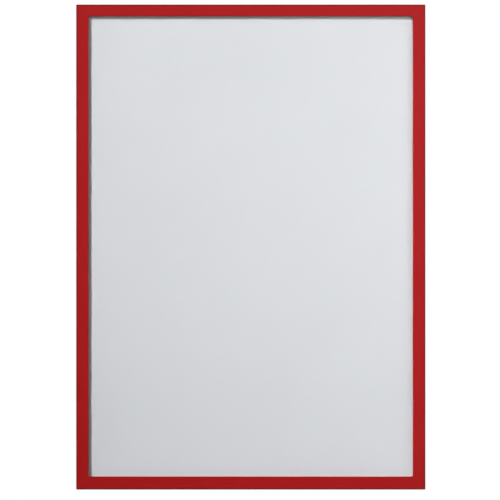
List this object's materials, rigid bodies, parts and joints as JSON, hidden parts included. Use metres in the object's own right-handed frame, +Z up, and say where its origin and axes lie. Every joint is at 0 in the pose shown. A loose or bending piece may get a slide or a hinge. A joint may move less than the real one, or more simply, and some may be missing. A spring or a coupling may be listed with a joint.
{
  "type": "magnetic document pocket",
  "caption": "Flat pocket for an upright A4 sheet, with a red frame round a clear window, a slot along the top and magnet strips on the back.",
  "frame": {"origin": "the middle of the pocket", "axes": "+Z up, along the long side of the upright sheet; -Y out of the red front frame, towards the reader; +Y out of the magnets, towards the steel surface; +X to the reader's right"},
  "size_m": [0.2232, 0.0036, 0.31],
  "materials": {
    "frame": "satin red rigid vinyl",
    "window_film": "clear anti-glare film",
    "back_sheet": "matt, pale cool grey",
    "tape": "matt translucent adhesive tape",
    "magnet": "matt dark magnet rubber"
  },
  "bodies": {
    "root": {"front_frame": "frame", "frame_tape_left": "tape", "frame_tape_right": "tape", "frame_tape_bottom": "tape", "frame_tape_top": "tape", "window_film": "window_film", "seam_tape_left": "tape", "seam_tape_right": "tape", "seam_tape_bottom": "tape", "back_sheet": "back_sheet", "magnet_tape_left": "tape", "magnet_tape_right": "tape", "magnet_tape_bottom": "tape", "magnet_tape_top": "tape", "magnet_left": "magnet", "magnet_right": "magnet", "magnet_bottom": "magnet", "magnet_top": "magnet"}
  },
  "joints": []
}
